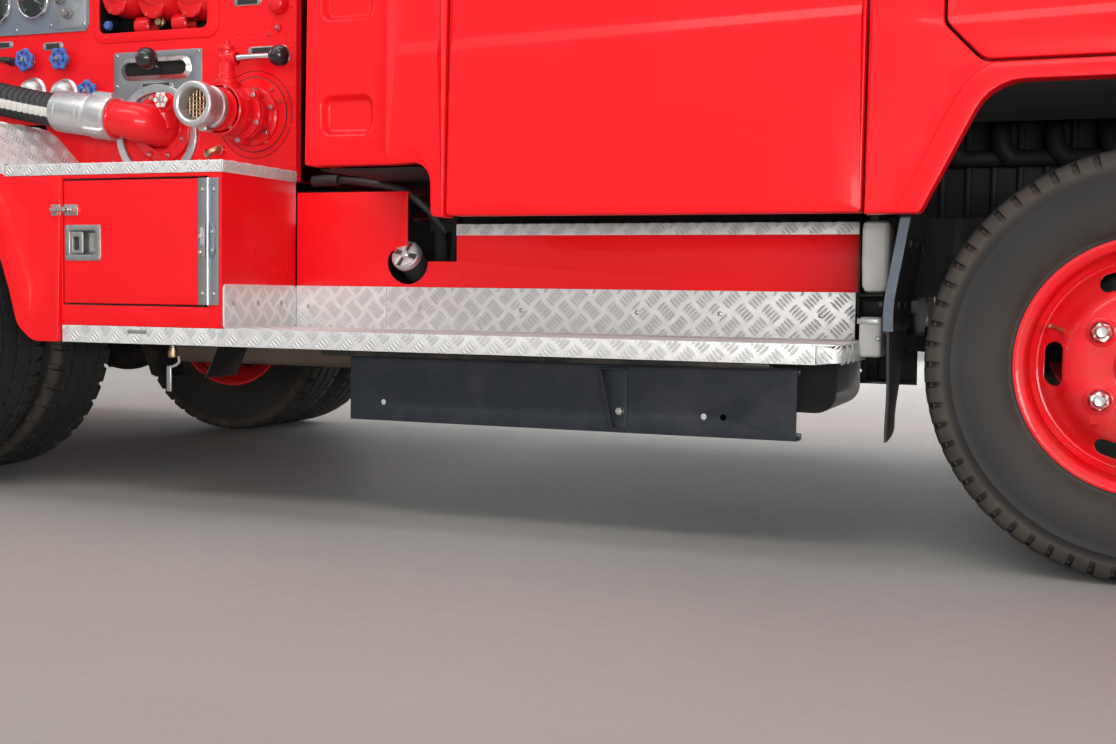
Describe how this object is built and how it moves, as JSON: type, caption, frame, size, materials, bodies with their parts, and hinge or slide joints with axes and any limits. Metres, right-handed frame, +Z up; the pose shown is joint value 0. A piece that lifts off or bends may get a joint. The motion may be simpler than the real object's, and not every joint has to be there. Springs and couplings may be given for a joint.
{
  "type": "fire engine",
  "caption": "Crew-cab pumper fire engine on a light-truck chassis, with side lockers, pump panels, suction hoses, hose bed and ladder.",
  "frame": {"origin": "on the road, at the middle of the vehicle's outer box", "axes": "+X forward, +Y to the vehicle's left, +Z up"},
  "size_m": [5.8, 2.5, 2.411],
  "materials": {
    "red_paint": "gloss",
    "red_casting": "satin",
    "wheel_paint": "gloss",
    "black_steel": "satin",
    "dark_steel": "satin",
    "cast_steel": "rough",
    "chequer_plate": "brushed",
    "alloy": "satin",
    "chrome": "polished",
    "tyre": "matte",
    "rubber": "matte",
    "clear_glass": "clear",
    "lamp_lens": "clear",
    "beacon_lens": "gloss",
    "dark_plastic": "grained",
    "seat_vinyl": "grained",
    "muffler_coat": "dull"
  },
  "bodies": {
    "chassis": {"chassis_frame": "black_steel", "frame_members": "black_steel", "front_axle_beam": "black_steel", "rear_axle_housing": "black_steel", "leaf_springs": "black_steel", "engine_block": "cast_steel", "gearbox_and_shaft": "cast_steel", "fuel_tank": "black_steel", "exhaust_muffler": "muffler_coat", "cab_sides": "red_paint", "cab_floor": "dark_plastic", "cab_front_panel": "red_paint", "cab_roof": "red_paint", "cab_rear_wall": "red_paint", "cab_glass": "clear_glass", "dashboard": "dark_plastic", "seats": "seat_vinyl", "front_bumper": "red_paint", "lamps": "lamp_lens", "mirrors": "dark_plastic", "roof_light_bar": "beacon_lens", "mud_flaps": "rubber", "running_boards": "chequer_plate", "skirts": "red_paint", "side_guards": "dark_steel", "side_lockers": "red_paint", "body_sides": "red_paint", "pump_and_tank": "cast_steel", "pump_house": "red_paint", "hose_bed": "red_paint", "pump_fittings": "red_casting", "suction_hoses": "rubber", "ladder_rack": "chrome", "ladder": "alloy", "rear_step": "chequer_plate"},
    "knuckle_right": {"knuckle_right": "cast_steel"},
    "knuckle_left": {"knuckle_left": "cast_steel"},
    "tie_rod": {"tie_rod": "black_steel"},
    "front_wheel_right": {"front_rim_right": "wheel_paint", "front_tyre_right": "tyre"},
    "front_wheel_left": {"front_rim_left": "wheel_paint", "front_tyre_left": "tyre"},
    "rear_wheels_right": {"rear_rims_right": "wheel_paint", "rear_tyres_right": "tyre"},
    "rear_wheels_left": {"rear_rims_left": "wheel_paint", "rear_tyres_left": "tyre"},
    "front_door_right": {"front_door_right": "red_paint", "front_door_pane_right": "clear_glass"},
    "front_door_left": {"front_door_left": "red_paint", "front_door_pane_left": "clear_glass"},
    "crew_door_right": {"crew_door_right": "red_paint", "crew_door_pane_right": "clear_glass"},
    "crew_door_left": {"crew_door_left": "red_paint", "crew_door_pane_left": "clear_glass"},
    "locker_door_right": {"locker_door_right": "red_paint"},
    "locker_door_left": {"locker_door_left": "red_paint"},
    "rear_locker_door_right": {"rear_locker_door_right": "red_paint"},
    "rear_locker_door_left": {"rear_locker_door_left": "red_paint"},
    "rear_gate": {"rear_gate": "red_paint"},
    "steering_wheel": {"steering_wheel": "dark_plastic"}
  },
  "joints": [
    {"name": "steer_right", "type": "hinge", "parent": "chassis", "child": "knuckle_right", "pos_m": [1.8, -0.85, 0.398], "axis": [0, 0, 1], "range_deg": [-35, 35]},
    {"name": "front_wheel_spin_right", "type": "hinge", "parent": "knuckle_right", "child": "front_wheel_right", "pos_m": [1.8, -0.949, 0.398], "axis": [0, 1, 0], "continuous": true},
    {"name": "rear_wheels_spin_right", "type": "hinge", "parent": "chassis", "child": "rear_wheels_right", "pos_m": [-1.25, -0.7975, 0.398], "axis": [0, 1, 0], "continuous": true},
    {"name": "front_door_hinge_right", "type": "hinge", "parent": "chassis", "child": "front_door_right", "pos_m": [2.486, -1.084, 1.521], "axis": [0, 0, 1], "range_deg": [0, 70]},
    {"name": "crew_door_hinge_right", "type": "hinge", "parent": "chassis", "child": "crew_door_right", "pos_m": [1.285, -1.084, 1.391], "axis": [0, 0, 1], "range_deg": [0, 70]},
    {"name": "locker_hinge_right", "type": "hinge", "parent": "chassis", "child": "locker_door_right", "pos_m": [-0.169, -1.089, 0.621], "axis": [0, 0, 1], "range_deg": [0, 110]},
    {"name": "rear_locker_hinge_right", "type": "hinge", "parent": "chassis", "child": "rear_locker_door_right", "pos_m": [-2.28, -1.089, 0.869], "axis": [-1, 0, 0], "range_deg": [0, 100]},
    {"name": "steer_left", "type": "hinge", "parent": "chassis", "child": "knuckle_left", "pos_m": [1.8, 0.85, 0.398], "axis": [0, 0, 1], "range_deg": [-35, 35]},
    {"name": "front_wheel_spin_left", "type": "hinge", "parent": "knuckle_left", "child": "front_wheel_left", "pos_m": [1.8, 0.949, 0.398], "axis": [0, 1, 0], "continuous": true},
    {"name": "rear_wheels_spin_left", "type": "hinge", "parent": "chassis", "child": "rear_wheels_left", "pos_m": [-1.25, 0.7975, 0.398], "axis": [0, 1, 0], "continuous": true},
    {"name": "front_door_hinge_left", "type": "hinge", "parent": "chassis", "child": "front_door_left", "pos_m": [2.486, 1.084, 1.521], "axis": [0, 0, -1], "range_deg": [0, 70]},
    {"name": "crew_door_hinge_left", "type": "hinge", "parent": "chassis", "child": "crew_door_left", "pos_m": [1.285, 1.084, 1.391], "axis": [0, 0, -1], "range_deg": [0, 70]},
    {"name": "locker_hinge_left", "type": "hinge", "parent": "chassis", "child": "locker_door_left", "pos_m": [-0.169, 1.089, 0.621], "axis": [0, 0, -1], "range_deg": [0, 110]},
    {"name": "rear_locker_hinge_left", "type": "hinge", "parent": "chassis", "child": "rear_locker_door_left", "pos_m": [-2.28, 1.089, 0.869], "axis": [1, 0, 0], "range_deg": [0, 100]},
    {"name": "tie_rod_pivot", "type": "hinge", "parent": "knuckle_right", "child": "tie_rod", "pos_m": [1.65, -0.806, 0.3], "axis": [0, 0, 1], "range_deg": [-35, 35]},
    {"name": "rear_gate_hinge", "type": "hinge", "parent": "chassis", "child": "rear_gate", "pos_m": [-2.799, 0, 1.287], "axis": [0, -1, 0], "range_deg": [0, 90]},
    {"name": "steering_wheel_turn", "type": "hinge", "parent": "chassis", "child": "steering_wheel", "pos_m": [2.27, -0.64, 1.391], "axis": [-0.5736, 0, 0.8192], "range_deg": [-630, 630]}
  ],
  "couplings": [
    {"joint": "steer_left", "follows": "steer_right", "ratio": 1},
    {"joint": "tie_rod_pivot", "follows": "steer_right", "ratio": -1},
    {"joint": "steering_wheel_turn", "follows": "steer_right", "ratio": 18}
  ]
}
